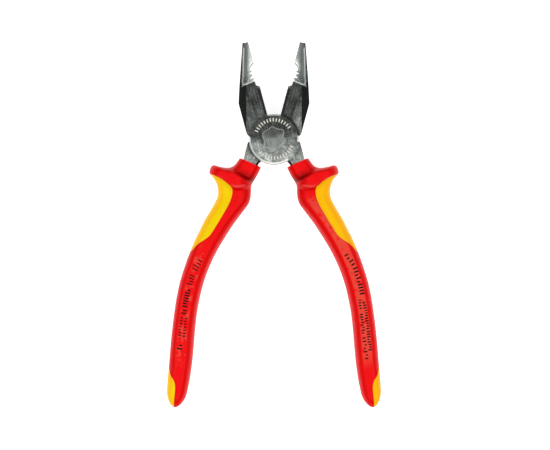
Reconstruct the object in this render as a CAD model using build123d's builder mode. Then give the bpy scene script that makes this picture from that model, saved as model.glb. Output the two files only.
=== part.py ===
"""Insulated combination pliers, 190 mm class, millimetres.

Two forged levers cross in a lap joint and turn about a flush rivet. Each handle is a steel tang
inside an insulating core sleeve, a red grip shell with a guard, and two yellow inlays.
The origin is on the rivet's axis at the back face of the head. +Y points to the jaw tips and +Z
out of the front face. Everything is drawn with the pliers closed, then turned open about the rivet.
"""

import os
from math import cos, radians, sin, tan

from build123d import *

# How far each lever stands open from the closed position, in degrees.
HALF_OPEN = 14.8

# Head and lap joint.
HEAD_THICK = 10.5
MID = HEAD_THICK / 2
DISC_R = 12.35
DISC_CHAMFER = 0.8
LAP_GAP = 0.06
RIM_GAP = 0.15

# Jaw: the left one, with its working edge beside the closing line x = 0.
FACE_GAP = 0.06
TIP_Y = 49.5
TIP_WIDTH = 3.0
OUTER_KNEE = (-9.9, 29.3)
WIDEST = (-12.4, 21.4)
JAW_SHOULDER = (-12.3, 6.1)
BLADE_TOP_Y = 27.2
BLADE_FOOT_Y = 12.8
BLADE_BEVEL = 1.3
BLADE_LAND = 0.8
LEDGE = (-1.75, 27.7)
HOLLOW_CENTRE = (2.3, 33.8)
HOLLOW_R = 5.9
PIPE_TOOTH_ANGLES = (160, 183, 206)
PIPE_TOOTH_HEIGHT = 1.3
PIPE_TOOTH_HALF = 1.0
SERRATION_START_Y = 40.2
SERRATION_PITCH = 1.05
SERRATION_COUNT = 9
SERRATION_DEPTH = 0.3
SERRATION_HALF = 0.35
TIP_BEVEL_LENGTH = 2.4
TIP_BEVEL_DEPTH = 2.2

# Hollow-ground recess in both faces of the gripping zone: floor outline, how far the walls lean
# out, and the scoop that rounds the floor.
RECESS_DEPTH = 1.8
RECESS_LEAN = 0.9
RECESS_FLOOR = [(-7.7, 29.9), (3.0, 31.3), (3.0, 53.0), (-0.9, 53.0)]
SCOOP_R = 9.0
SCOOP_FOOT = (-5.6, 29.0)
SCOOP_TIP = (-1.5, 49.0)

# Ground facets down the outer side of the jaw, and their slope from the face.
FACET_TOP = (-6.5, 28.5)
FACET_FOOT = (-12.4, 6.1)
FACET_SLOPE = 30

# Lengths that carry a cutter clear of the piece it cuts.
ACROSS = 12
PAST = 6

# Shoulder between the disc and the neck of the right handle.
HANDLE_SHOULDER = (12.0, -4.7)
SHOULDER_CHAMFER = 0.9

# Joint rivet: a lobed crown keyed into the front disc, a shank and a round foot.
RIVET_R = 4.0
RIVET_FIT = 0.05
RIVET_CROWN = 3.2
RIVET_EDGE = 0.28
RIVET_FOOT_R = 5.6
RIVET_FOOT = 1.8

# The crown's uneven lobes: angle in degrees and radius.
CROWN_LOBES = [
    (8, 5.2),
    (32, 6.4),
    (60, 5.4),
    (84, 6.3),
    (108, 5.6),
    (128, 6.1),
    (152, 5.9),
    (174, 5.0),
    (204, 6.0),
    (236, 5.0),
    (262, 5.1),
    (290, 4.7),
    (312, 4.8),
    (340, 5.8),
]

# Stamped dashes round the front disc.
DASH_R = 9.4
DASH_LENGTH = 1.7
DASH_WIDTH = 0.5
DASH_DEPTH = 0.12
DASH_ARCS = ((23, 141, 14), (211, 322, 13))

# Handle stations of the right handle: centre x and y, turn of the cross line in degrees, then the
# width across and the thickness.
NECK_STATIONS = [
    (8.3, -14.1, 9.4, 12.0, 13.0),
    (9.6, -18.6, 8.0, 12.6, 13.4),
    (11.4, -24.6, 3.0, 14.2, 14.4),
]
NECK_CORNER_R = 4.2
GRIP_STATIONS = [
    (14.1, -25.0, 3.0, 19.8, 14.6),
    (12.5, -30.4, 2.0, 17.6, 14.8),
    (12.2, -35.0, 7.0, 16.0, 15.8),
    (13.7, -40.5, 14.0, 14.5, 16.7),
    (15.9, -46.8, 17.0, 13.5, 17.1),
    (17.8, -53.6, 14.0, 12.9, 17.2),
    (19.3, -60.2, 11.0, 12.4, 17.1),
    (20.9, -72.0, 5.0, 11.8, 16.8),
    (21.1, -84.0, -2.0, 11.5, 16.3),
    (20.0, -96.0, -8.0, 11.4, 15.8),
    (18.1, -108.0, -10.0, 11.6, 15.2),
    (16.2, -120.0, -8.5, 11.4, 14.6),
    (14.8, -130.5, -7.5, 10.5, 13.9),
    (14.2, -135.6, -8.0, 9.0, 12.4),
    (13.8, -138.4, -8.0, 6.2, 9.6),
    (13.5, -140.0, -8.0, 2.8, 5.4),
]
GRIP_CORNER_R = 4.8

# Hand guard between neck and grip: a ridge that is widest in the middle and drawn out to a tip,
# with a rounded rectangle for its end view.
GUARD_THICK = 21.0
GUARD_CORNER_R = 6.0
GUARD_X = (4.0, 27.1)
GUARD_TOP = [(4.0, -23.4), (9.5, -22.2), (15.6, -20.3), (18.2, -19.4), (25.3, -19.5)]
GUARD_TIP = [(25.3, -19.5), (26.7, -20.4), (27.1, -22.4), (26.7, -24.1)]
GUARD_UNDER = [(26.7, -24.1), (22.7, -24.6), (19.2, -25.4), (16.2, -26.7), (12.9, -28.3)]
GUARD_INNER = [(12.9, -28.3), (8.5, -26.8), (4.0, -25.4)]

# Yellow inlays: a skin set flush into the red shell, with its edge on the face of the grip.
INLAY_THICK = 1.2
UPPER_INLAY_EDGE = [
    (25.6, -63.4),
    (22.6, -58.9),
    (19.3, -55.3),
    (17.4, -51.5),
    (14.7, -43.5),
    (12.9, -35.5),
    (12.9, -28.3),
]
TAIL_INLAY_EDGE = [
    (20.9, -122.6),
    (19.4, -125.4),
    (17.1, -127.4),
    (16.0, -129.2),
    (15.4, -131.5),
    (14.7, -136.0),
    (13.6, -142.0),
]

# Steel tang, and the insulating core sleeve round it.
TANG_STATIONS = [
    (7.9, -11.5, 9.4, 7.6, 9.4),
    (8.3, -14.1, 9.4, 7.6, 8.6),
    (9.4, -18.4, 9.0, 7.6, 8.2),
    (11.0, -26.0, 9.0, 7.8, 8.0),
    (12.6, -34.8, 11.0, 7.6, 8.0),
    (15.9, -46.8, 16.0, 7.0, 8.0),
    (19.3, -60.2, 11.0, 6.6, 7.8),
    (21.0, -78.0, 1.5, 6.2, 7.4),
    (20.0, -96.0, -8.0, 6.0, 7.0),
    (17.4, -112.0, -9.5, 5.6, 6.6),
    (16.6, -118.0, -9.0, 5.4, 6.4),
]
CORE_STATIONS = TANG_STATIONS[1:] + [(16.3, -120.0, -9.0, 5.4, 6.4)]
TANG_CORNER_R = 1.4
CORE_WALL = 1.2


def lofted(stations, grow, corner):
    """Loft rounded rectangles down the handle, each side moved out by grow."""
    with BuildPart() as bar:
        for x, y, turn, width, thick in stations:
            across = (cos(radians(turn)), sin(radians(turn)), 0)
            along = (sin(radians(turn)), -cos(radians(turn)), 0)
            wide = width + 2 * grow
            deep = thick + 2 * grow
            with BuildSketch(Plane(origin=(x, y, MID), x_dir=across, z_dir=along)):
                RectangleRounded(wide, deep, min(corner + grow, 0.46 * min(wide, deep)))
        loft()
    return bar.part


def jaw_profile():
    """Left jaw's outline: blade, pipe grip hollow with its teeth, and serrated flat."""
    with BuildSketch() as outline:
        Polygon(
            (-FACE_GAP, 0),
            (-FACE_GAP, BLADE_TOP_Y),
            LEDGE,
            (LEDGE[0], HOLLOW_CENTRE[1] - 0.5),
            (-FACE_GAP, HOLLOW_CENTRE[1]),
            (-FACE_GAP, TIP_Y),
            (-TIP_WIDTH, TIP_Y + 0.1),
            OUTER_KNEE,
            WIDEST,
            JAW_SHOULDER,
            (-11.0, 3.8),
            (-4, 0),
            align=None,
        )
        with Locations(HOLLOW_CENTRE):
            Circle(HOLLOW_R, mode=Mode.SUBTRACT)
        for angle in PIPE_TOOTH_ANGLES:
            turned = Location((*HOLLOW_CENTRE, 0), (0, 0, angle))
            with Locations(turned * Location((HOLLOW_R, 0, 0))):
                Polygon(
                    (0.5, -PIPE_TOOTH_HALF),
                    (0.5, PIPE_TOOTH_HALF),
                    (-PIPE_TOOTH_HEIGHT, 0),
                    align=None,
                )
        for row in range(SERRATION_COUNT):
            with Locations((-FACE_GAP, SERRATION_START_Y + row * SERRATION_PITCH)):
                Polygon(
                    (0.01, -SERRATION_HALF),
                    (0.01, SERRATION_HALF),
                    (-SERRATION_DEPTH, 0),
                    align=None,
                    mode=Mode.SUBTRACT,
                )
    return outline.sketch


def shoulder_block():
    """Steel between the disc and the right handle's neck, chamfered down its inner side."""
    with BuildPart() as block:
        with BuildSketch():
            Polygon(
                (9.0, -3.4),
                HANDLE_SHOULDER,
                (12.0, -14.6),
                (4.6, -14.6),
                (4.4, -13.7),
                (3.2, -11.6),
                (2.0, -8.0),
                align=None,
            )
        extrude(amount=HEAD_THICK)
        rims = block.edges().filter_by(Axis.Z, reverse=True)
        inner = rims.filter_by(lambda edge: edge.center().X < 4.7)
        chamfer(inner, SHOULDER_CHAMFER)
    return block.part


def recess_cutter():
    """Tapered pocket with a scooped floor, cut down from the front face of the gripping zone."""
    run = Vector(*SCOOP_TIP) - Vector(*SCOOP_FOOT)
    scoop_plane = Plane(origin=(*SCOOP_FOOT, HEAD_THICK + SCOOP_R - RECESS_DEPTH), z_dir=run)
    with BuildPart() as cutter:
        with BuildSketch(Plane.XY.offset(HEAD_THICK - RECESS_DEPTH)):
            Polygon(*RECESS_FLOOR, align=None)
        with BuildSketch(Plane.XY.offset(HEAD_THICK)):
            Polygon(*RECESS_FLOOR, align=None)
            offset(amount=RECESS_LEAN, kind=Kind.INTERSECTION)
        loft(ruled=True)
        with BuildSketch(scoop_plane.offset(-2 * PAST)):
            Circle(SCOOP_R)
        extrude(amount=TIP_Y, mode=Mode.INTERSECT)
    return cutter.part


def crown_profile():
    """Closed curve with shallow uneven lobes, as a crown pressed into its keyed seat."""
    points = [(r * cos(radians(angle)), r * sin(radians(angle))) for angle, r in CROWN_LOBES]
    with BuildSketch() as outline:
        with BuildLine():
            Spline(*points, periodic=True)
        make_face()
    return outline.sketch


def half_disc():
    """Front half of the lap joint, with its rim chamfered."""
    with BuildPart() as disc:
        with BuildSketch(Plane.XY.offset(MID + LAP_GAP / 2)):
            Circle(DISC_R)
        extrude(amount=MID - LAP_GAP / 2)
        chamfer(disc.edges().group_by(Axis.Z)[-1], DISC_CHAMFER)
    return disc.part


def forged_lever():
    """Left jaw, front half disc and right tang, closed, without the rivet's seat."""
    run = Vector(*FACET_TOP) - Vector(*FACET_FOOT)
    run = run.normalized()
    outward = Vector(0, 0, 1).cross(run)
    with BuildPart() as lever:
        add(jaw_profile())
        extrude(amount=HEAD_THICK)
        add(shoulder_block())
        add(lofted(TANG_STATIONS, 0, TANG_CORNER_R))
        # Seat in which the other lever's half disc turns.
        with BuildSketch():
            Circle(DISC_R + RIM_GAP)
        extrude(amount=MID + LAP_GAP / 2, mode=Mode.SUBTRACT)
        add(half_disc())
        # Blade bevels on both faces, with a narrow land between them.
        with BuildSketch(Plane.XZ.offset(-BLADE_TOP_Y - BLADE_LAND)):
            for face_z, land_z in ((0, MID - BLADE_LAND / 2), (HEAD_THICK, MID + BLADE_LAND / 2)):
                Polygon(
                    (1, face_z),
                    (-FACE_GAP - BLADE_BEVEL, face_z),
                    (-FACE_GAP, land_z),
                    (1, land_z),
                    align=None,
                )
        extrude(amount=BLADE_TOP_Y + BLADE_LAND - BLADE_FOOT_Y, mode=Mode.SUBTRACT)
        # Facets down the outer side, one from each face.
        for face_z, side in ((HEAD_THICK, 1), (0, -1)):
            start = Plane(origin=(*FACET_FOOT, face_z), x_dir=outward, z_dir=run)
            drop = ACROSS * tan(radians(FACET_SLOPE)) * side * start.y_dir.Z
            with BuildSketch(start.offset(-PAST)):
                Polygon((0, 0), (ACROSS, 0), (ACROSS, -drop), align=None)
            extrude(amount=TIP_Y + PAST, mode=Mode.SUBTRACT)
        # Recessed gripping zone on both faces.
        add(recess_cutter(), mode=Mode.SUBTRACT)
        add(recess_cutter().mirror(Plane.XY.offset(MID)), mode=Mode.SUBTRACT)
        # Bevels at the jaw tip.
        with BuildSketch(Plane.YZ.offset(-PAST)):
            for face_z, inner_z in ((0, 1), (HEAD_THICK, -1)):
                Polygon(
                    (TIP_Y - TIP_BEVEL_LENGTH, face_z),
                    (TIP_Y + 1, face_z),
                    (TIP_Y + 1, face_z + inner_z * TIP_BEVEL_DEPTH),
                    align=None,
                )
        extrude(amount=PAST + 2, mode=Mode.SUBTRACT)
    return lever.part


def rivet():
    """Crown keyed into the front disc, shank, and a round foot flush with the back face."""
    with BuildPart() as pin:
        with BuildSketch():
            Circle(RIVET_FOOT_R)
        extrude(amount=RIVET_FOOT)
        with BuildSketch():
            Circle(RIVET_R)
        extrude(amount=HEAD_THICK)
        with BuildSketch(Plane.XY.offset(HEAD_THICK - RIVET_CROWN)):
            add(crown_profile())
        extrude(amount=RIVET_CROWN)
        chamfer(pin.edges().group_by(Axis.Z)[-1], RIVET_EDGE)
        chamfer(pin.edges().group_by(Axis.Z)[0], RIVET_EDGE)
    return pin.part


def front_forging(blank):
    """The lever whose disc shows in front, seated on the rivet and stamped with dashes."""
    with BuildPart() as forging:
        add(blank)
        with BuildSketch(Plane.XY.offset(HEAD_THICK - RIVET_CROWN)):
            add(crown_profile())
        extrude(amount=RIVET_CROWN, mode=Mode.SUBTRACT)
        with BuildSketch(Plane.XY.offset(MID)):
            Circle(RIVET_R)
        extrude(amount=MID, mode=Mode.SUBTRACT)
        with BuildSketch(Plane.XY.offset(HEAD_THICK - DASH_DEPTH)):
            for first, last, count in DASH_ARCS:
                for step in range(count):
                    angle = first + (last - first) * step / (count - 1)
                    turned = Location((0, 0, 0), (0, 0, angle))
                    with Locations(turned * Location((DASH_R, 0, 0))):
                        Rectangle(DASH_LENGTH, DASH_WIDTH)
        extrude(amount=DASH_DEPTH, mode=Mode.SUBTRACT)
    return forging.part


def back_forging(blank):
    """The same forging turned over, bored to run on the rivet."""
    with BuildPart() as forging:
        add(turned_over(blank))
        with BuildSketch():
            Circle(RIVET_R + RIVET_FIT)
        extrude(amount=HEAD_THICK, mode=Mode.SUBTRACT)
        with BuildSketch():
            Circle(RIVET_FOOT_R + RIVET_FIT)
        extrude(amount=RIVET_FOOT + RIVET_FIT, mode=Mode.SUBTRACT)
    return forging.part


def guard_collar():
    """Hand guard, upright in plan and rounded in its end view."""
    with BuildPart() as guard:
        with BuildSketch(Plane.XY.offset(MID - GUARD_THICK / 2)):
            with BuildLine():
                Polyline(*GUARD_TOP)
                Spline(*GUARD_TIP, tangents=((1, 0), (-1, -0.4)))
                Spline(*GUARD_UNDER)
                Polyline(*GUARD_INNER, GUARD_TOP[0])
            make_face()
        extrude(amount=GUARD_THICK)
        with BuildSketch(Plane.XZ):
            with Locations((sum(GUARD_X) / 2, MID)):
                RectangleRounded(GUARD_X[1] - GUARD_X[0], GUARD_THICK, GUARD_CORNER_R)
        extrude(amount=2 * GUARD_THICK, mode=Mode.INTERSECT)
    return guard.part


def grip_envelope():
    """Outside of the whole right handle covering."""
    with BuildPart() as envelope:
        add(lofted(NECK_STATIONS, 0, NECK_CORNER_R))
        add(lofted(GRIP_STATIONS, 0, GRIP_CORNER_R))
        add(guard_collar())
    return envelope.part


def inlay(envelope, edges, closing):
    """Skin of the grip on the outer side of one or more curved edges that meet end to end."""
    with BuildPart() as skin:
        add(envelope)
        add(lofted(GRIP_STATIONS[:-1], -INLAY_THICK, GRIP_CORNER_R), mode=Mode.SUBTRACT)
        with BuildSketch(Plane.XY.offset(MID - GUARD_THICK)):
            with BuildLine():
                for edge in edges:
                    Spline(*edge)
                Polyline(edges[-1][-1], *closing, edges[0][0])
            make_face()
        extrude(amount=2 * GUARD_THICK, mode=Mode.INTERSECT)
    return skin.part


def core_sleeve(lever):
    """Insulating sleeve round the tang, closed at its end."""
    with BuildPart() as sleeve:
        add(lofted(CORE_STATIONS, CORE_WALL, TANG_CORNER_R))
        add(lever, mode=Mode.SUBTRACT)
    return sleeve.part


def grip_shell(envelope, hidden):
    """Red shell: the envelope less everything set into it."""
    with BuildPart() as shell:
        add(envelope)
        for piece in hidden:
            add(piece, mode=Mode.SUBTRACT)
    return shell.part


def turned_over(shape):
    """Turn a piece over about the Y line through the middle of the head."""
    return shape.rotate(Axis((0, 0, MID), (0, 1, 0)), 180)


def write_piece(shape, name, side):
    """Swing a closed piece open, with the front lever (1) or the back lever (-1), and write it."""
    with BuildPart() as piece:
        add(shape.rotate(Axis.Z, side * HALF_OPEN))
    piece.part.label = name
    export_step(piece.part, f"parts/{name}.step")


os.makedirs("parts", exist_ok=True)

blank = forged_lever()
write_piece(front_forging(blank), "front_lever", 1)
write_piece(rivet(), "joint_rivet", 1)
write_piece(back_forging(blank), "back_lever", -1)

envelope = grip_envelope()
core = core_sleeve(blank)
upper = inlay(envelope, [UPPER_INLAY_EDGE, GUARD_UNDER[::-1]], [(30, -24.1), (30, -63.4)])
tail = inlay(envelope, [TAIL_INLAY_EDGE], [(26, -142), (26, -122.6)])
shell = grip_shell(envelope, [blank, core, upper, tail])
coverings = {"core_sleeve": core, "grip_shell": shell, "upper_inlay": upper, "tail_inlay": tail}
for name, shape in coverings.items():
    write_piece(shape, f"right_{name}", 1)
    write_piece(turned_over(shape), f"left_{name}", -1)
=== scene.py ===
import random
from math import cos, pi, radians, sin

import bmesh
import bpy
import numpy as np
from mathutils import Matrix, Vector
from mathutils.bvhtree import BVHTree


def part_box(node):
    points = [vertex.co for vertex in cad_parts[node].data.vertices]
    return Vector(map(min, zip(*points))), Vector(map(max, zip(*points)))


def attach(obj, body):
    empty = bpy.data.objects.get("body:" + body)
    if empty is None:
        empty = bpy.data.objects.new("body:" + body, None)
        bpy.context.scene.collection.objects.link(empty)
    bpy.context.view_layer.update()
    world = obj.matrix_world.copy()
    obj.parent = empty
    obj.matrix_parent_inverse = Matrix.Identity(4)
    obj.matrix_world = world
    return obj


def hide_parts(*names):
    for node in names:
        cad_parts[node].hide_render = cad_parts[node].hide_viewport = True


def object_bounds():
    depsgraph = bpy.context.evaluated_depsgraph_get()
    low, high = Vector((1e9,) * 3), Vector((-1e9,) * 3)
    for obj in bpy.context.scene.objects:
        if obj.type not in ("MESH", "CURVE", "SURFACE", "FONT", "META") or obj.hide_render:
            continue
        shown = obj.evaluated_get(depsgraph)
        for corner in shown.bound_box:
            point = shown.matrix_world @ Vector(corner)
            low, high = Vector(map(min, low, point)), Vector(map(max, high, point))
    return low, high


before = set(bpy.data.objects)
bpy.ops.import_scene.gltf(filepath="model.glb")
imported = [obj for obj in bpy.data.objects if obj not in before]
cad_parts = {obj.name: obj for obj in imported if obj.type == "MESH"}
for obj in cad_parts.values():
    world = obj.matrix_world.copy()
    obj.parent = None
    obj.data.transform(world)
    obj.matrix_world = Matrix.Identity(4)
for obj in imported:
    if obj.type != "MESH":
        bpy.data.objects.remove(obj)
cad_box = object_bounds()

# Millimetres to metres, how far each half stands open, and the height of the middle of the head.
MM = 0.001
HALF_OPEN = radians(14.8)
head_low, head_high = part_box("front_lever")
MID = (head_low.z + head_high.z) / 2 / MM

# ---------------------------------------------------------------------------
# Handle coverings, drawn for the closed right handle in millimetres, in the CAD frame.

# Each station: inner edge x, y, outer edge x, y, thickness of the grip, and how far the cross
# line bows towards the tail.
STATIONS = [
    (2.6, -15.0, 14.1, -13.2, 12.6, 0.0),
    (3.2, -18.2, 15.0, -15.6, 13.0, 0.0),
    (3.9, -20.9, 16.1, -17.7, 13.4, 0.2),
    (4.5, -22.8, 18.4, -19.2, 13.8, 0.4),
    (4.7, -23.7, 22.2, -19.7, 14.0, 0.7),
    (4.8, -24.3, 25.6, -19.7, 14.2, 1.0),
    (4.8, -24.8, 26.75, -20.6, 14.3, 1.3),
    (4.75, -25.3, 27.05, -22.2, 14.4, 1.6),
    (4.7, -25.8, 26.95, -23.8, 14.4, 1.8),
    (4.55, -26.5, 25.9, -24.9, 14.4, 1.9),
    (4.3, -27.5, 24.2, -26.0, 14.4, 1.8),
    (3.95, -29.0, 22.3, -28.0, 14.3, 1.4),
    (3.7, -31.2, 20.7, -30.7, 14.2, 0.8),
    (3.9, -34.0, 20.0, -33.3, 14.7, 0.2),
    (5.0, -36.9, 20.0, -35.6, 15.8, 0.0),
    (6.5, -40.6, 20.6, -38.5, 16.6, 0.0),
    (8.3, -45.0, 21.6, -42.3, 17.0, 0.0),
    (10.0, -50.0, 22.9, -46.7, 17.1, 0.0),
    (11.5, -54.8, 24.0, -51.9, 17.2, 0.0),
    (12.9, -59.8, 25.1, -57.3, 17.1, 0.0),
    (14.2, -66.0, 26.1, -64.3, 17.0, 0.0),
    (15.1, -72.6, 26.75, -71.8, 16.8, 0.0),
    (15.45, -79.2, 27.1, -79.3, 16.5, 0.0),
    (15.3, -86.0, 26.8, -86.7, 16.2, 0.0),
    (14.8, -92.4, 26.1, -93.7, 15.9, 0.0),
    (13.6, -100.6, 24.95, -102.4, 15.5, 0.0),
    (12.05, -109.4, 23.55, -111.3, 15.1, 0.0),
    (10.75, -117.4, 22.1, -119.3, 14.7, 0.0),
    (9.85, -125.2, 20.85, -126.8, 14.2, 0.0),
    (9.5, -131.0, 19.8, -132.2, 13.8, 0.0),
]

# Rings: points round each, spacing along the handle, and the closer spacing over the guard's rows.
# A station's four coordinates together move about 1.4 times as far as one edge does.
RING = 120
STEP = 0.55
GUARD_STEP = 0.22
GUARD_ROWS = (2, 12)
BOTH_EDGES = 1.4

# The neck's rounded lip, as insets of its first rings, and the domed tail: its length, its steps,
# and the powers that shape it across and through.
NECK_LIP = (0.8, 0.35)
TAIL_LENGTH = 8.8
TAIL_STEPS = 19
TAIL_NARROW = 1.8
TAIL_THIN = 2.2

# Guard ridge in plan: its upper and lower edges as x, y, and its thickness over all.
RIDGE_THICK = 20.8
RIDGE_TOP = [(3.0, -23.6), (9.5, -22.5), (15.6, -20.8), (18.2, -20.0), (24.0, -19.3), (30.0, -19.0)]
RIDGE_UNDER = [
    (3.0, -24.7),
    (5.5, -25.3),
    (8.8, -26.7),
    (11.4, -27.9),
    (13.0, -28.0),
    (16.2, -26.8),
    (19.2, -25.6),
    (22.7, -24.8),
    (26.7, -24.3),
    (30.0, -24.3),
]

# How far the ridge's edges are eased away from it and into it, the lower one more on the inner side.
TOP_EASE = (-1.5, 0.35)
UNDER_EASE_IN = 0.3
UNDER_EASE_INNER = 1.9
UNDER_EASE_OUTER = 0.75
UNDER_EASE_SPAN = (9.0, 15.0)

# Marks of painted light round the ridge, as the spans over which each fades in, up from an edge and
# across
# the handle: painted shade in the hollow corner beside the neck from the upper edge, a painted
# highlight from the lower.
HOLLOW_SHADE_ABOVE = ((5.5, 0.2), (-1.4, 0.3))
HOLLOW_SHADE_ACROSS = ((17.0, 8.0),)
BROW_HIGHLIGHT_ABOVE = ((-0.5, 0.3), (1.5, 0.5))
BROW_HIGHLIGHT_ACROSS = ((4.0, 6.0), (15.0, 12.5))

# How far prisms and rays reach clear of the grip.
CLEAR = 20

# Cross-section: a rounded octagon. SHOULDER_U and SHOULDER_V weigh its sloping sides.
CORNER = 7
SHOULDER_U = 0.74
SHOULDER_V = 0.53

# Yellow inlays: thickness, the seam round them, each one's edge on the face of the grip, and the
# points that close its outline outside the grip.
INLAY_THICK = 1.2
SEAM = 0.05
UPPER_EDGE = [
    (26.2, -65.0),
    (25.0, -63.1),
    (22.6, -59.0),
    (20.3, -56.5),
    (18.5, -54.2),
    (17.0, -50.2),
    (14.7, -42.4),
    (13.2, -36.6),
    (12.8, -32.4),
    (13.3, -29.6),
    (14.3, -28.1),
    (16.3, -27.0),
    (19.2, -25.8),
    (22.7, -25.0),
    (27.5, -24.5),
]
UPPER_CLOSE = [(32.0, -24.5), (32.0, -65.0)]
TAIL_EDGE = [
    (21.6, -120.6),
    (20.9, -122.4),
    (19.4, -125.0),
    (17.1, -127.2),
    (16.0, -129.2),
    (15.4, -131.5),
    (14.7, -136.0),
    (13.6, -142.5),
]
TAIL_CLOSE = [(28.0, -142.5), (28.0, -120.6)]


def smooth(a, b, x):
    """0 at a and 1 at b, smooth between; a may be the larger."""
    t = np.clip((x - a) / (b - a), 0, 1)
    return t * t * (3 - 2 * t)


def through(rows, spots, keys=4):
    """Values of a smooth curve through rows at fractional row numbers, spaced by chord length."""
    rows = np.array(rows, float)
    gaps = np.sqrt(np.linalg.norm(np.diff(rows[:, :keys], axis=0), axis=1))
    slopes = np.empty_like(rows)
    before = (rows[1:-1] - rows[:-2]) / gaps[:-1, None]
    after = (rows[2:] - rows[1:-1]) / gaps[1:, None]
    share = (gaps[:-1] / (gaps[:-1] + gaps[1:]))[:, None]
    slopes[1:-1] = before * (1 - share) + after * share
    slopes[0] = (rows[1] - rows[0]) / gaps[0] * 1.5 - slopes[1] * 0.5
    slopes[-1] = (rows[-1] - rows[-2]) / gaps[-1] * 1.5 - slopes[-2] * 0.5
    k = np.minimum(np.floor(spots).astype(int), len(rows) - 2)
    t = (spots - k)[:, None]
    gap = gaps[k][:, None]
    return (
        (2 * t**3 - 3 * t**2 + 1) * rows[k]
        + (t**3 - 2 * t**2 + t) * gap * slopes[k]
        + (-2 * t**3 + 3 * t**2) * rows[k + 1]
        + (t**3 - t**2) * gap * slopes[k + 1]
    )


def ring_spots():
    """Row numbers for the rings, closer together over the guard."""
    spots = []
    for k in range(len(STATIONS) - 1):
        here, there = np.array(STATIONS[k][:4]), np.array(STATIONS[k + 1][:4])
        step = GUARD_STEP if GUARD_ROWS[0] <= k < GUARD_ROWS[1] else STEP
        count = max(3, int(np.linalg.norm(there - here) / BOTH_EDGES / step))
        spots += [k + i / count for i in range(count)]
    return np.array(spots + [len(STATIONS) - 1.0])


def section():
    """Unit cross-section of the grip, across and through."""
    angle = np.arange(RING) * 2 * pi / RING
    u, v = np.cos(angle), np.sin(angle)
    slope = SHOULDER_U * np.abs(u) + SHOULDER_V * np.abs(v)
    reach = (np.abs(u) ** CORNER + np.abs(v) ** CORNER + slope**CORNER) ** (1 / CORNER)
    return u / reach, v / reach


def ridge_height(plan):
    """How far the guard ridge is raised at points of the plan, from 0 to 1."""
    top = np.interp(plan[:, 0], *np.transpose(RIDGE_TOP))
    under = np.interp(plan[:, 0], *np.transpose(RIDGE_UNDER))
    outer_share = smooth(*UNDER_EASE_SPAN, plan[:, 0])
    soft = UNDER_EASE_INNER + (UNDER_EASE_OUTER - UNDER_EASE_INNER) * outer_share
    return smooth(*TOP_EASE, top - plan[:, 1]) * smooth(-soft, UNDER_EASE_IN, plan[:, 1] - under)


def grip_ring(row, inset, width_share=1.0, thick_share=1.0, slide=(0.0, 0.0)):
    """One closed ring of points round the grip."""
    inner, outer, thick, bow = row[:2], row[2:4], row[4], row[5]
    across = outer - inner
    width = np.linalg.norm(across)
    across = across / width
    along = np.array([across[1], -across[0]])
    u, v = section()
    half = (width / 2 - inset) * width_share
    centre = (inner + outer) / 2 + np.array(slide)
    plan = centre + np.outer(u * half, across) + np.outer(bow * (1 - u * u), along)
    proud = (RIDGE_THICK - thick) * ridge_height(plan)
    deep = ((thick + proud) / 2 - inset) * thick_share
    return np.column_stack([plan, MID + v * deep])


def grip_rings(inset=0.0):
    """Rings from the neck to the end of the tail, set in from the surface."""
    rows = through(STATIONS, ring_spots())
    rings = []
    if not inset:
        rings += [grip_ring(rows[0], lip) for lip in NECK_LIP]
    rings += [grip_ring(row, inset) for row in rows]
    across = rows[-1][2:4] - rows[-1][:2]
    across /= np.linalg.norm(across)
    along = np.array([across[1], -across[0]])
    for i in range(1, TAIL_STEPS):
        t = sin(i / TAIL_STEPS * pi / 2)
        narrow = (1 - t**TAIL_NARROW) ** (1 / TAIL_NARROW)
        thin = (1 - t**TAIL_THIN) ** (1 / TAIL_THIN)
        rings.append(grip_ring(rows[-1], inset, narrow, thin, along * t * (TAIL_LENGTH - inset)))
    return rings


def mesh_object(name, verts, faces):
    mesh = bpy.data.meshes.new(name)
    mesh.from_pydata([tuple(v) for v in verts], [], faces)
    mesh.update()
    bm = bmesh.new()
    bm.from_mesh(mesh)
    bmesh.ops.recalc_face_normals(bm, faces=bm.faces)
    bm.to_mesh(mesh)
    bm.free()
    obj = bpy.data.objects.new(name, mesh)
    bpy.context.scene.collection.objects.link(obj)
    return obj


def closed_tube(name, rings):
    """Mesh object with quads between rings and a fan at each end."""
    verts = np.concatenate(rings)
    count = len(rings[0])
    faces = []
    for r in range(len(rings) - 1):
        for i in range(count):
            j = (i + 1) % count
            faces.append((r * count + i, r * count + j, (r + 1) * count + j, (r + 1) * count + i))
    first, last = len(verts), len(verts) + 1
    verts = np.vstack([verts, rings[0].mean(0), rings[-1].mean(0)])
    base = (len(rings) - 1) * count
    for i in range(count):
        j = (i + 1) % count
        faces.append((j, i, first))
        faces.append((base + i, base + j, last))
    return mesh_object(name, verts, faces)


def curve_points(points, per_span=8):
    """Smooth plan curve through a few points."""
    spots = np.linspace(0, len(points) - 1, (len(points) - 1) * per_span + 1)
    return through(points, spots, 2)


def prism(name, outline):
    """Upright prism right through the grip over a plan outline."""
    n = len(outline)
    verts = [(x, y, MID + end) for end in (-CLEAR, CLEAR) for x, y in outline]
    faces = [tuple(range(n))[::-1], tuple(range(n, 2 * n))]
    faces += [(i, (i + 1) % n, n + (i + 1) % n, n + i) for i in range(n)]
    return mesh_object(name, verts, faces)


def grown(points, amount):
    """Plan curve moved to its left by amount."""
    way = np.gradient(points, axis=0)
    way /= np.linalg.norm(way, axis=1)[:, None]
    return points + amount * np.column_stack([-way[:, 1], way[:, 0]])


def boolean(obj, cutter, operation):
    """Apply one exact boolean to the object's mesh."""
    modifier = obj.modifiers.new("cut", "BOOLEAN")
    modifier.operation = operation
    modifier.solver = "EXACT"
    modifier.object = cutter
    graph = bpy.context.evaluated_depsgraph_get()
    graph.update()
    made = bpy.data.meshes.new_from_object(obj.evaluated_get(graph))
    obj.modifiers.clear()
    obj.data = made


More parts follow.
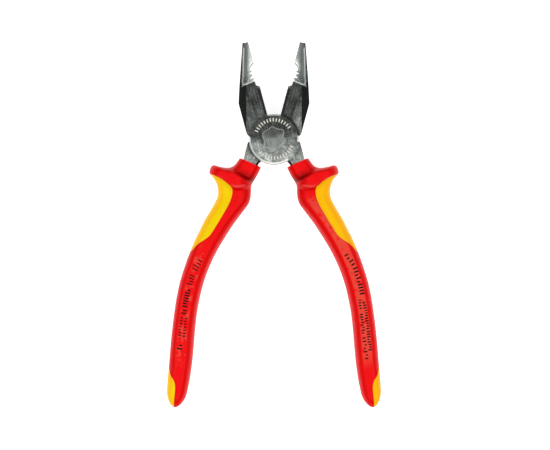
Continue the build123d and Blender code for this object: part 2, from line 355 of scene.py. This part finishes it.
def duplicate(obj, name):
    other = obj.copy()
    other.data = obj.data.copy()
    other.name = name
    bpy.context.scene.collection.objects.link(other)
    return other


envelope = closed_tube("envelope", grip_rings())
inlay_floor = closed_tube("inlay_floor", grip_rings(INLAY_THICK))
pocket_floor = closed_tube("pocket_floor", grip_rings(INLAY_THICK + SEAM))
shell = duplicate(envelope, "grip_shell")
inlays = {}
for name, points, close, outward in (
    ("upper_inlay", UPPER_EDGE, UPPER_CLOSE, 1),
    ("tail_inlay", TAIL_EDGE, TAIL_CLOSE, -1),
):
    edge = curve_points(points)
    inside = prism(name + "_plan", list(edge) + close)
    pocket = prism(name + "_pocket", list(grown(edge, SEAM * outward)) + close)
    boolean(pocket, pocket_floor, "DIFFERENCE")
    boolean(shell, pocket, "DIFFERENCE")
    piece = duplicate(envelope, name)
    boolean(piece, inside, "INTERSECT")
    boolean(piece, inlay_floor, "DIFFERENCE")
    inlays[name] = piece
    bpy.data.objects.remove(inside)
    bpy.data.objects.remove(pocket)


def mark(obj, name, sized_spans):
    """Vertex value that is 1 where every measure is past its spans."""
    value = 1.0
    for measure, spans in sized_spans:
        for low, high in spans:
            value = value * smooth(low, high, measure)
    obj.data.attributes.new(name, "FLOAT", "POINT").data.foreach_set("value", value)


def mark_guard(obj):
    """Mark painted shade in the corner between neck and guard ridge, and a painted highlight along
    its lower edge.
    """
    x, y = np.array([v.co.xy for v in obj.data.vertices]).T
    over_top = y - np.interp(x, *np.transpose(RIDGE_TOP))
    over_under = y - np.interp(x, *np.transpose(RIDGE_UNDER))
    mark(obj, "hollow", ((over_top, HOLLOW_SHADE_ABOVE), (x, HOLLOW_SHADE_ACROSS)))
    mark(obj, "brow_highlight", ((over_under, BROW_HIGHLIGHT_ABOVE), (x, BROW_HIGHLIGHT_ACROSS)))


mark_guard(shell)


def to_open(points, side):
    """Closed right-hand millimetres to open metres, turned over for the left hand (side -1)."""
    co = np.array(points, float)
    if side < 0:
        co[:, 0] *= -1
        co[:, 2] = 2 * MID - co[:, 2]
    turn = side * HALF_OPEN
    x = co[:, 0] * cos(turn) - co[:, 1] * sin(turn)
    y = co[:, 0] * sin(turn) + co[:, 1] * cos(turn)
    return np.column_stack([x, y, co[:, 2]]) * MM


def place(master, name, side):
    """Copy of a closed right-hand piece, opened out on its own side."""
    obj = duplicate(master, name)
    co = to_open([v.co for v in obj.data.vertices], side)
    obj.data.vertices.foreach_set("co", co.ravel())
    obj.data.update()
    return obj


# ---------------------------------------------------------------------------
# Printed marks: plain bars laid on the face of the grip, in rows along it. Each row: start x, y,
# end x, y, count of bars, their length across the row, and their stroke.
BARS_RIGHT = [
    ((19.9, -63.9), (21.9, -69.2), 4, 2.4, 0.75),
    ((22.2, -71.4), (22.6, -76.4), 4, 2.4, 0.75),
    ((22.6, -78.2), (22.4, -84.2), 5, 2.4, 0.75),
    ((20.3, -87.0), (19.8, -91.0), 4, 1.4, 0.6),
    ((22.2, -88.8), (20.8, -101.5), 11, 1.7, 0.65),
    ((20.5, -103.0), (19.1, -111.8), 8, 1.7, 0.65),
    ((19.2, -94.0), (18.1, -103.0), 8, 1.7, 0.65),
    ((17.7, -105.5), (16.4, -115.5), 7, 1.7, 0.65),
]
BARS_LEFT = [
    ((20.0, -66.8), (21.3, -71.6), 4, 3.3, 0.55),
    ((21.6, -75.0), (21.9, -79.2), 4, 2.9, 0.55),
    ((21.7, -82.4), (21.2, -90.4), 7, 2.5, 0.75),
    ((21.0, -92.4), (20.9, -93.8), 2, 2.4, 0.7),
    ((21.3, -96.2), (20.1, -104.8), 7, 1.3, 0.6),
    ((19.1, -95.9), (17.9, -104.6), 7, 1.3, 0.6),
    ((18.7, -109.5), (18.5, -111.1), 2, 2.7, 0.75),
]
BAR_PROUD = 0.03
BAR_SUNK = 0.12
BAR_STEPS = 6
BAR_SIZES = (1.0, 1.0, 0.8, 0.6)
BAR_SEED = 7


def bar_mesh(name, rows, side):
    """Thin solids that follow the face of the grip, one for each bar."""
    draw = random.Random(BAR_SEED)
    tree = BVHTree.FromObject(envelope, bpy.context.evaluated_depsgraph_get())
    verts, faces = [], []
    for start, end, count, length, stroke in rows:
        run = Vector(end) - Vector(start)
        along = run.normalized()
        across = Vector((-along.y, along.x))
        for i in range(count):
            middle = Vector(start) + run * (i / (count - 1))
            tall = length * draw.choice(BAR_SIZES)
            middle += across * (length - tall) / 2 * draw.choice((-1, 1))
            base = len(verts)
            for k in range(BAR_STEPS + 1):
                for edge in (-0.5, 0.5):
                    spot = middle + across * tall * (k / BAR_STEPS - 0.5) + along * stroke * edge
                    front = Vector((*spot, MID + CLEAR * side))
                    hit = tree.ray_cast(front, Vector((0, 0, -side)))[0]
                    verts.append((*spot, hit.z + BAR_PROUD * side))
                    verts.append((*spot, hit.z - BAR_SUNK * side))
            # Four corners at each step: first edge top and bottom, then second edge top and bottom.
            for k in range(BAR_STEPS):
                a, b = base + 4 * k, base + 4 * k + 4
                for p, q in ((0, 2), (2, 3), (3, 1), (1, 0)):
                    faces.append((a + p, a + q, b + q, b + p))
            faces.append((base, base + 1, base + 3, base + 2))
            far = base + 4 * BAR_STEPS
            faces.append((far, far + 2, far + 3, far + 1))
    return mesh_object(name, to_open(verts, side), faces)


# ---------------------------------------------------------------------------
# Materials.
class Graph:
    """Short calls for wiring one material's nodes."""

    def __init__(self, name):
        self.material = bpy.data.materials.new(name)
        self.material.use_nodes = True
        self.tree = self.material.node_tree
        self.shader = self.tree.nodes["Principled BSDF"]
        coords = self.tree.nodes.new("ShaderNodeTexCoord")
        self.object = coords.outputs["Object"]
        self.normal = coords.outputs["Normal"]

    def node(self, kind, inputs=(), **settings):
        node = self.tree.nodes.new(kind)
        for key, value in settings.items():
            setattr(node, key, value)
        for slot, value in dict(inputs).items():
            self.feed(node.inputs[slot], value)
        return node

    def feed(self, socket, value):
        if isinstance(value, bpy.types.NodeSocket):
            self.tree.links.new(value, socket)
        else:
            socket.default_value = value

    def set(self, name, value):
        self.feed(self.shader.inputs[name], value)

    def math(self, operation, *values):
        return self.node("ShaderNodeMath", enumerate(values), operation=operation).outputs[0]

    def vector(self, operation, *values):
        node = self.node("ShaderNodeVectorMath", enumerate(values), operation=operation)
        return node.outputs[1 if operation in ("DOT_PRODUCT", "LENGTH", "DISTANCE") else 0]

    def product(self, *values):
        total = values[0]
        for value in values[1:]:
            total = self.math("MULTIPLY", total, value)
        return total

    def rise(self, value, low, high):
        """0 below low and 1 above high, smooth between; low may be the larger."""
        ends = {0: value, 1: low, 2: high, 3: 0.0, 4: 1.0}
        return self.node("ShaderNodeMapRange", ends, interpolation_type="SMOOTHSTEP").outputs[0]

    def lerp(self, share, low, high):
        return self.node("ShaderNodeMix", {0: share, 2: low, 3: high}, data_type="FLOAT").outputs[0]

    def mix(self, share, first, second):
        ends = {0: share, 6: first, 7: second}
        return self.node("ShaderNodeMix", ends, data_type="RGBA").outputs[2]

    def noise(self, vector, scale, detail):
        ends = {"Vector": vector, "Scale": scale, "Detail": detail}
        return self.node("ShaderNodeTexNoise", ends).outputs[0]

    def grey(self, value, tint):
        """Grey of a given value, tinted."""
        parts = {i: self.math("MULTIPLY", value, tint[i]) for i in range(3)}
        return self.node("ShaderNodeCombineColor", parts).outputs[0]

    def split(self, vector):
        return self.node("ShaderNodeSeparateXYZ", {0: vector}).outputs

    def bump(self, height, strength, distance):
        ends = {"Strength": strength, "Distance": distance, "Height": height}
        self.set("Normal", self.node("ShaderNodeBump", ends).outputs[0])

    def millimetres(self, side):
        """Object place in millimetres of the closed frame, mirrored for the left half (-1)."""
        ends = {0: self.object, 2: (0, 0, -HALF_OPEN), 3: (side / MM, 1 / MM, 1 / MM)}
        return self.node("ShaderNodeMapping", ends).outputs[0]


def colour(r, g, b):
    return (r, g, b, 1.0)


STEEL_TINT = (0.93, 1.0, 0.93)
DISC_R = 12.35

# Grey values of the steel, from 0 to 1, some of them painted reflection, highlight and shade.
JAW_TONE = 0.09
NECK_TONE = 0.35
DISC_FOOT_REFLECTION_TONE = 0.6
FACET_TONE = 0.012
WALL_TONE = 0.09
RIVET_TOP_TONE = 0.15
RIVET_FOOT_TONE = 0.36
RIVET_EDGE_HIGHLIGHT_TONE = 0.8
TIP_TONE = 0.1
RECESS_OUTER_SHADE_TONE = 0.2
RECESS_INNER_REFLECTION_TONE = {1: 0.52, -1: 0.27}
HOLLOW_HIGHLIGHT_TONE = 0.75
HEEL_HIGHLIGHT_GAIN = {1: 1.7, -1: 3.4}
BLADE_GAIN = 3.5

# Places in the closed frame: the centre that the grinding marks sweep round, the middle of the
# toothed hollow, and the recess's corner with the directions in from its side and up from its foot.
GRINDING_CENTRE = (4.0, 24.0, 0.0)
HOLLOW_CENTRE = (1.6, 36.4, 0.0)
RECESS_CORNER = (-7.7, 29.9, 0)
RECESS_INWARD = (0.9593, -0.2824, 0)
RECESS_UPWARD = (-0.1297, 0.9915, 0)

# Half the thickness of the head.
HEAD_HALF = 5.25


def brushed(g, place, along=0.11):
    """Fine grain drawn out along the tool, and broad mottling."""
    grain = g.noise(g.vector("MULTIPLY", place, (2.6, along, 0.6)), 1.0, 4.0)
    mottle = g.noise(place, 0.23, 3.0)
    return grain, mottle


def brushed_bump(g, grain, mottle):
    g.bump(g.math("ADD", grain, g.product(mottle, 0.5)), 0.12, 0.0003)


def swept(g, flat, mottle):
    """Distance from the grinding centre, and the same with an uneven limit."""
    sweep = g.vector("DISTANCE", flat, GRINDING_CENTRE)
    return sweep, g.math("ADD", sweep, g.product(g.math("SUBTRACT", mottle, 0.5), 5.0))


class Steel(Graph):
    """The values that every zone of a lever's steel is worked out from."""

    def __init__(self, name, side):
        super().__init__(name)
        self.side = side
        self.place = self.millimetres(side)
        self.flat = self.vector("MULTIPLY", self.place, (1, 1, 0))
        self.x, self.y, self.z = self.split(self.place)
        self.rest_y = self.math("MULTIPLY", self.split(self.object)[1], 1 / MM)
        self.facing = self.math("ABSOLUTE", self.split(self.normal)[2])
        self.level = self.math("ABSOLUTE", self.math("SUBTRACT", self.z, MID))
        self.radius = self.vector("LENGTH", self.flat)
        self.grain, self.mottle = brushed(self, self.place)
        self.outside = self.rise(self.radius, DISC_R + 0.1, DISC_R + 0.5)

    def ground_faces(self):
        """Broad faces, lighter towards the handles, with a curved limit between two grindings, and a
        painted reflection at the disc's foot.
        """
        sweep, limit = swept(self, self.flat, self.mottle)
        lower = self.rise(limit, 24.3, 28.0)
        tone = self.lerp(lower, JAW_TONE, NECK_TONE)
        # Painted reflection: the faces turn lighter towards the foot of the disc.
        tone = self.lerp(self.rise(self.rest_y, -5.0, -12.0), tone, DISC_FOOT_REFLECTION_TONE)
        tone = self.product(tone, self.lerp(self.product(self.outside, lower), 1.0, 0.62))

        # Grain along the tool, and arcs round the grinding centre on the jaw's side of the disc.
        line = self.node("ShaderNodeCombineXYZ", {0: sweep}).outputs[0]
        arcs = self.noise(self.vector("MULTIPLY", line, (1.9, 0, 0)), 1.0, 3.0)
        arc_zone = self.product(self.rise(self.radius, 16.0, 12.5), self.rise(self.radius, 8.0, 10.0))
        arc_zone = self.product(arc_zone, self.rise(self.x, 0.0, -4.0), 0.6)
        streak = self.rise(self.lerp(arc_zone, self.grain, arcs), 0.25, 0.75)
        swing = self.lerp(lower, 1.3, 0.48)
        streaks = self.math("MULTIPLY_ADD", self.math("SUBTRACT", streak, 0.5), swing, 1.0)
        patches = self.lerp(self.rise(self.mottle, 0.3, 0.7), 0.65, 1.35)
        blotches = self.lerp(self.rise(self.noise(self.place, 1.3, 5.0), 0.35, 0.65), 0.72, 1.28)
        tone = self.product(tone, streaks, patches, blotches)

        # Painted highlight on the heel of each jaw, stronger on the back lever's.
        upper = self.math("SUBTRACT", 1.0, lower)
        heel_highlight = self.product(self.rise(self.y, 22.0, 12.0), self.outside, upper)
        if self.side < 0:
            heel_highlight = self.product(heel_highlight, self.rise(self.x, -5.0, -9.0))
        tone = self.product(tone, self.lerp(heel_highlight, 1.0, HEEL_HIGHLIGHT_GAIN[self.side]))

        # Painted shadow in the seam round the other lever's disc.
        seat_face = self.rise(self.product(self.math("SUBTRACT", self.z, MID), -self.side), 4.0, 5.0)
        seam_shadow = self.product(self.outside, self.rise(self.radius, 13.3, 12.8), seat_face)
        return self.product(tone, self.lerp(seam_shadow, 1.0, 0.22))

    def facets(self, tone):
        """Dark facets and walls outside the disc."""
        slope = self.product(self.rise(self.facing, 0.955, 0.93), self.outside)
        wall = self.rise(self.facing, 0.35, 0.2)
        dark = self.lerp(self.rise(self.facing, 0.2, 0.05), FACET_TONE, WALL_TONE)
        dark = self.product(dark, self.lerp(self.grain, 0.6, 1.4))
        return self.lerp(self.math("MAXIMUM", slope, wall), tone, dark)

    def blade(self):
        """Where the cutting edges are."""
        along = self.product(self.rise(self.y, 12.0, 13.0), self.rise(self.y, 27.0, 26.0))
        inner = self.product(self.rise(self.x, -5.0, -4.0), self.outside)
        return self.product(self.rise(self.facing, 0.93, 0.9), inner, along)

    def rim(self):
        """Where the chamfer round the disc is."""
        chamfer = self.product(self.rise(self.facing, 0.9, 0.8), self.rise(self.facing, 0.4, 0.5))
        return self.product(self.rise(self.radius, DISC_R + 0.3, DISC_R + 0.1), chamfer)

    def recess(self, speck):
        """Where the gripping zone is and where its wall is, and its grey value: painted reflection
        from dark outside to light inside, lighter on the front lever, painted highlight by the
        toothed hollow and on the wall, and dirt specks towards its foot.
        """
        from_corner = self.vector("SUBTRACT", self.place, RECESS_CORNER)
        from_side = self.vector("DOT_PRODUCT", from_corner, RECESS_INWARD)
        from_foot = self.vector("DOT_PRODUCT", from_corner, RECESS_UPWARD)
        inside = self.product(self.rise(from_side, -0.98, -0.88), self.rise(from_foot, -0.98, -0.88))
        inside = self.product(inside, self.rise(self.level, HEAD_HALF - 0.005, HEAD_HALF - 0.05))
        inside = self.product(inside, self.rise(self.facing, 0.2, 0.3))
        inner_reflection_tone = RECESS_INNER_REFLECTION_TONE[self.side]
        # Painted reflection: the zone runs from dark on its outer side to light on its inner side.
        tone = self.lerp(self.rise(from_side, 1.0, 2.8), RECESS_OUTER_SHADE_TONE, inner_reflection_tone)
        from_hollow = self.vector("DISTANCE", self.flat, HOLLOW_CENTRE)
        # Painted highlight near the toothed hollow.
        tone = self.lerp(self.rise(from_hollow, 6.0, 3.0), tone, HOLLOW_HIGHLIGHT_TONE)
        dirt = self.lerp(self.rise(from_foot, 5.0, 2.5), 0.75, 0.25)
        tone = self.product(tone, self.lerp(self.rise(speck, 0.6, 0.44), dirt, 1.0))
        ledge = self.rise(self.facing, 0.8, 0.6)
        # Painted highlight: the recess wall is painted full bright.
        return inside, ledge, self.lerp(ledge, tone, 1.0)

    def scratched(self, tone):
        """Thin scratches and bright specks."""
        turned = {0: self.place, 2: (0, 0, 0.35), 3: (3.4, 0.07, 0.4)}
        skew = self.node("ShaderNodeMapping", turned).outputs[0]
        scratch = self.rise(self.noise(skew, 1.0, 2.0), 0.62, 0.7)
        tone = self.lerp(self.product(scratch, 0.5), tone, self.math("MULTIPLY", tone, 2.6))
        glint = self.rise(self.noise(self.place, 2.3, 2.0), 0.64, 0.72)
        glint = self.product(glint, self.rise(self.facing, 0.95, 0.98), 0.6)
        return self.lerp(glint, tone, self.math("MULTIPLY", tone, 2.6))

    def stamped(self):
        """Where the floor of the engraved dashes is."""
        ring = self.product(self.rise(self.radius, 8.0, 8.2), self.rise(self.radius, 10.8, 10.6))
        below = self.rise(self.level, HEAD_HALF - 0.05, HEAD_HALF - 0.08)
        above = self.rise(self.level, HEAD_HALF - 0.25, HEAD_HALF - 0.17)
        return self.product(ring, below, above, self.math("SUBTRACT", 1.0, self.outside))


def lever_steel(name, side):
    """Forged and ground steel: dark outer facets, brushed faces, and a gripping zone with painted
    reflection and highlights.
    """
    g = Steel(name, side)
    blade = g.blade()
    tone = g.product(g.facets(g.ground_faces()), g.lerp(blade, 1.0, BLADE_GAIN))
    rim = g.rim()
    # Painted highlight: the chamfer round the disc is half grey towards the jaws, full bright towards
    # the handles.
    tone = g.lerp(rim, tone, g.lerp(g.rise(g.rest_y, 5.0, -3.0), 0.5, 1.0))
    rim_highlight = g.product(rim, g.rise(g.rest_y, 0.5, -3.0))
    speck = g.noise(g.place, 1.5, 4.0)
    inside, ledge, recess_tone_with_painted_light = g.recess(speck)
    tone = g.lerp(inside, tone, recess_tone_with_painted_light)
    tip = g.product(g.rise(g.y, 46.6, 47.6), g.rise(g.facing, 0.9, 0.8))
    tone = g.scratched(g.lerp(tip, tone, TIP_TONE))
    base = g.grey(g.math("MINIMUM", tone, 1.0), STEEL_TINT)
    # The painted highlights on the recess wall and the disc's chamfer are nearly non-metallic, so
    # they read bright.
    metallic = g.lerp(g.math("MAXIMUM", g.product(inside, ledge), rim_highlight), 1.0, 0.1)
    if side > 0:
        stamped = g.stamped()
        base = g.mix(stamped, base, colour(0.85, 0.83, 0.74))
        metallic = g.lerp(stamped, metallic, 0.0)
    g.set("Metallic", g.lerp(blade, metallic, 0.0))
    g.set("Specular IOR Level", g.lerp(blade, 0.5, 0.0))
    g.set("Base Color", base)
    g.set("Roughness", g.lerp(inside, g.lerp(g.grain, 0.3, 0.48), g.lerp(speck, 0.38, 0.55)))
    brushed_bump(g, g.grain, g.mottle)
    return g.material


def rivet_steel():
    """Rivet ground flush, with a painted highlight on the chamfer round its edge."""
    g = Graph("rivet_steel")
    place = g.millimetres(1)
    facing = g.math("ABSOLUTE", g.split(g.normal)[2])
    grain, mottle = brushed(g, place, 0.2)
    limit = swept(g, g.vector("MULTIPLY", place, (1, 1, 0)), mottle)[1]
    tone = g.lerp(g.rise(limit, 21.5, 25.0), RIVET_TOP_TONE, RIVET_FOOT_TONE)
    tone = g.product(tone, g.lerp(g.rise(grain, 0.25, 0.75), 0.6, 1.4), g.lerp(mottle, 0.75, 1.25))
    # Painted highlight: the chamfer round the crown is light grey and barely metallic.
    edge = g.product(g.rise(facing, 0.95, 0.85), g.rise(facing, 0.3, 0.5))
    g.set("Base Color", g.grey(g.lerp(edge, tone, RIVET_EDGE_HIGHLIGHT_TONE), STEEL_TINT))
    g.set("Metallic", g.lerp(edge, 1.0, 0.2))
    g.set("Roughness", g.lerp(grain, 0.28, 0.46))
    brushed_bump(g, grain, mottle)
    return g.material


PLASTIC_SPECULAR = 0.07
# Reds of the plastic: its face, painted shade for its sides, a rubbed paler red, a painted highlight
# along the guard ridge's lower edge, painted shade for its creases and for the corner beside the
# neck, and dark pits.
RED_FACE = colour(0.85, 0.003, 0.005)
RED_SIDE_SHADE = colour(0.70, 0.0, 0.0)
RED_RUBBED = colour(0.76, 0.072, 0.045)
RED_BROW_HIGHLIGHT = colour(0.80, 0.10, 0.09)
RED_SHADE = colour(0.2, 0.0, 0.0)
RED_CORNER_SHADE = colour(0.13, 0.0, 0.0)
RED_PIT = colour(0.08, 0.004, 0.002)

# How much of the face is rubbed, as a span of noise, and the span along the handle where it starts.
RUBBED_SHARE = {1: (0.31, 0.45), -1: (0.5, 0.62)}
RUBBED_START = {1: (-31.0, -35.0), -1: (-58.0, -66.0)}


def moulded(g, place, rough):
    """Fine spark-eroded texture of a moulded piece; returns its broad unevenness."""
    fine = g.noise(place, 2.6, 3.0)
    broad = g.noise(place, 0.16, 2.0)
    g.set("Roughness", g.lerp(broad, rough - 0.06, rough + 0.08))
    g.bump(fine, 0.18, 0.0002)
    return broad


def grip_red(side):
    """Red plastic, rubbed paler along the face, with painted shade on its sides, in its creases and
    in the corner beside the neck, and a painted highlight along the guard ridge's lower edge.
    """
    g = Graph("grip_red")
    place = g.millimetres(side)
    broad = moulded(g, place, 0.42)
    y = g.split(place)[1]
    facing = g.math("ABSOLUTE", g.split(g.normal)[2])
    # Painted shade: faces turned away from the flat top and bottom take the darker side red.
    face = g.product(g.rise(facing, 0.86, 0.99), g.lerp(broad, 0.75, 1.0))
    base = g.mix(face, RED_SIDE_SHADE, RED_FACE)
    patches = g.rise(g.noise(place, 0.35, 5.0), *RUBBED_SHARE[side])
    reach = g.product(g.rise(y, *RUBBED_START[side]), g.rise(y, -122.0, -112.0))
    rubbed = g.product(patches, reach, g.rise(facing, 0.93, 0.995), 0.75)
    base = g.mix(rubbed, base, RED_RUBBED)
    # Painted shade: the red turns dark where ambient occlusion finds creases and hollows.
    hollow = g.node("ShaderNodeAmbientOcclusion", {"Distance": 0.006}, only_local=True, samples=8)
    base = g.mix(g.rise(hollow.outputs["AO"], 0.1, 0.8), RED_SHADE, base)
    # Painted shade in the corner between the neck and the guard ridge.
    corner = g.node("ShaderNodeAttribute", attribute_name="hollow").outputs["Fac"]
    base = g.mix(g.product(corner, 0.7), base, RED_CORNER_SHADE)
    # Painted highlight: a paler red along the guard ridge's lower edge, on faces turned up.
    brow_highlight = g.node("ShaderNodeAttribute", attribute_name="brow_highlight").outputs["Fac"]
    base = g.mix(g.product(brow_highlight, g.rise(facing, 0.5, 0.8), 0.6), base, RED_BROW_HIGHLIGHT)

    # Small dark pits, more of them in the dip below the guard.
    dip = g.product(g.rise(y, -31.0, -33.0), g.rise(y, -43.0, -40.0))
    pits = g.rise(g.math("ADD", g.noise(place, 1.1, 1.0), g.product(dip, 0.075)), 0.75, 0.79)
    g.set("Base Color", g.mix(g.product(pits, 0.7), base, RED_PIT))
    g.set("Specular IOR Level", PLASTIC_SPECULAR)
    return g.material


def inlay_yellow(side, face_tone, shaded_side_tone):
    """Softer yellow plastic, with painted shade in a warmer, darker yellow round its outer side."""
    g = Graph("inlay_yellow")
    place = g.millimetres(side)
    broad = moulded(g, place, 0.5)
    facing = g.math("ABSOLUTE", g.split(g.normal)[2])
    # Painted shade: faces turned away from the flat face take the darker, more orange side yellow.
    base = g.mix(g.product(g.rise(facing, 0.7, 1.0), g.lerp(broad, 0.8, 1.0)), shaded_side_tone, face_tone)
    grime = g.rise(g.noise(place, 0.5, 4.0), 0.6, 0.72)
    g.set("Base Color", g.mix(g.product(grime, 0.12), base, colour(0.4, 0.2, 0.01)))
    g.set("Specular IOR Level", PLASTIC_SPECULAR)
    return g.material


def core_cream():
    """Off-white insulating plastic, slightly mottled."""
    g = Graph("core_cream")
    broad = moulded(g, g.millimetres(1), 0.5)
    g.set("Base Color", g.mix(broad, colour(0.62, 0.58, 0.48), colour(0.78, 0.75, 0.66)))
    return g.material


def print_black():
    """Printed ink, worn through in places."""
    g = Graph("print_black")
    worn = g.rise(g.noise(g.millimetres(1), 0.9, 4.0), 0.55, 0.75)
    g.set("Base Color", g.mix(worn, colour(0.008, 0.002, 0.002), colour(0.12, 0.01, 0.006)))
    g.set("Roughness", g.lerp(worn, 0.6, 0.75))
    g.set("Specular IOR Level", 0.1)
    return g.material


def paper_white():
    """Plain pale floor with a very faint tooth, lit from within to keep shadows faint."""
    g = Graph("paper_white")
    tooth = g.noise(g.object, 900.0, 2.0)
    g.set("Base Color", g.mix(tooth, colour(0.93, 0.93, 0.93), colour(0.95, 0.95, 0.95)))
    g.set("Roughness", g.lerp(tooth, 0.85, 0.95))
    g.bump(tooth, 0.05, 0.0001)
    g.set("Emission Color", colour(1.0, 1.0, 1.0))
    g.set("Emission Strength", 0.7)
    return g.material


# ---------------------------------------------------------------------------
# Dress the frame. Yellow of each side: on its face, then round its outer side as painted shade. The
# two sides hold lit and shaded copies of one yellow.
SHARP_FROM = radians(35)
YELLOW_LIT_AND_SHADED = {
    1: (colour(0.93, 0.5, 0.0), colour(0.93, 0.42, 0.0)),
    -1: (colour(0.86, 0.62, 0.0), colour(0.93, 0.5, 0.0)),
}


def dress(piece, material, body):
    """Give a piece its only material and its body."""
    piece.data.materials.clear()
    piece.data.materials.append(material)
    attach(piece, body)


ink = print_black()
for side, word, body, bars in (
    (1, "right", "front_half", BARS_RIGHT),
    (-1, "left", "back_half", BARS_LEFT),
):
    red = grip_red(side)
    yellow = inlay_yellow(side, *YELLOW_LIT_AND_SHADED[side])
    for master, kind, material, slot in (
        (shell, "grip_shell", red, "grip_red"),
        (inlays["upper_inlay"], "upper_inlay", yellow, "inlay_yellow"),
        (inlays["tail_inlay"], "tail_inlay", yellow, "inlay_yellow"),
    ):
        piece = place(master, f"{word}_{kind}_skin", side)
        for polygon in piece.data.polygons:
            polygon.use_smooth = True
        piece.data.set_sharp_from_angle(angle=SHARP_FROM)
        dress(piece, material, body)
        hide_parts(f"{word}_{kind}")
    dress(bar_mesh(f"{word}_print_marks", bars, side), ink, body)
for master in (envelope, inlay_floor, pocket_floor, shell, *inlays.values()):
    bpy.data.objects.remove(master)

cream = core_cream()
for node, material in (
    ("front_lever", lever_steel("front_lever_steel", 1)),
    ("back_lever", lever_steel("back_lever_steel", -1)),
    ("joint_rivet", rivet_steel()),
    ("right_core_sleeve", cream),
    ("left_core_sleeve", cream),
):
    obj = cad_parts[node]
    obj.data.materials.clear()
    obj.data.materials.append(material)

# ---------------------------------------------------------------------------
# Camera, floor and light. VIEW_WIDTH is what the camera sees across the head's middle plane.
VIEW_WIDTH = 0.2717
LENS = 100
SENSOR = 36
VIEW_CENTRE = (0.0005, -0.0422)
camera_data = bpy.data.cameras.new("camera")
camera_data.lens = LENS
camera_data.sensor_width = SENSOR
camera = bpy.data.objects.new("camera", camera_data)
camera.location = (*VIEW_CENTRE, MID * MM + VIEW_WIDTH * LENS / SENSOR)
bpy.context.scene.collection.objects.link(camera)
bpy.context.scene.camera = camera

FLOOR_HALF = 3.0
FLOOR_DROP = 0.0003
floor_z = cad_box[0].z - FLOOR_DROP
corners = [(-1, -1), (1, -1), (1, 1), (-1, 1)]
floor_verts = [(x * FLOOR_HALF, y * FLOOR_HALF, floor_z) for x, y in corners]
floor = mesh_object("floor", floor_verts, [(0, 1, 2, 3)])
floor.data.materials.append(paper_white())

world = bpy.data.worlds.new("world")
world.use_nodes = True
background = world.node_tree.nodes["Background"]
background.inputs["Color"].default_value = colour(0.97, 0.98, 1.0)
background.inputs["Strength"].default_value = 0.2
bpy.context.scene.world = world


def softbox(name, place_at, size, power):
    """Soft light aimed at the middle of the view: place and size in metres, power in watts."""
    data = bpy.data.lights.new(name, "AREA")
    data.shape = "RECTANGLE"
    data.size, data.size_y = size
    data.energy = power
    light = bpy.data.objects.new(name, data)
    light.location = place_at
    target = Vector((*VIEW_CENTRE, 0))
    light.rotation_mode = "QUATERNION"
    light.rotation_quaternion = (target - light.location).to_track_quat("-Z", "Y")
    bpy.context.scene.collection.objects.link(light)


# Four softboxes round an empty middle, so that the flat steel faces don't mirror any of them.
softbox("softbox_left", (-0.75, 0.0, 0.95), (0.5, 1.0), 5.5)
softbox("softbox_right", (0.75, 0.0, 0.95), (0.5, 1.0), 5.5)
softbox("softbox_tail", (0.0, -0.85, 0.95), (1.0, 0.5), 5.5)
softbox("softbox_jaws", (0.0, 0.8, 0.95), (1.0, 0.5), 2.5)
bpy.context.scene.view_settings.view_transform = "Standard"
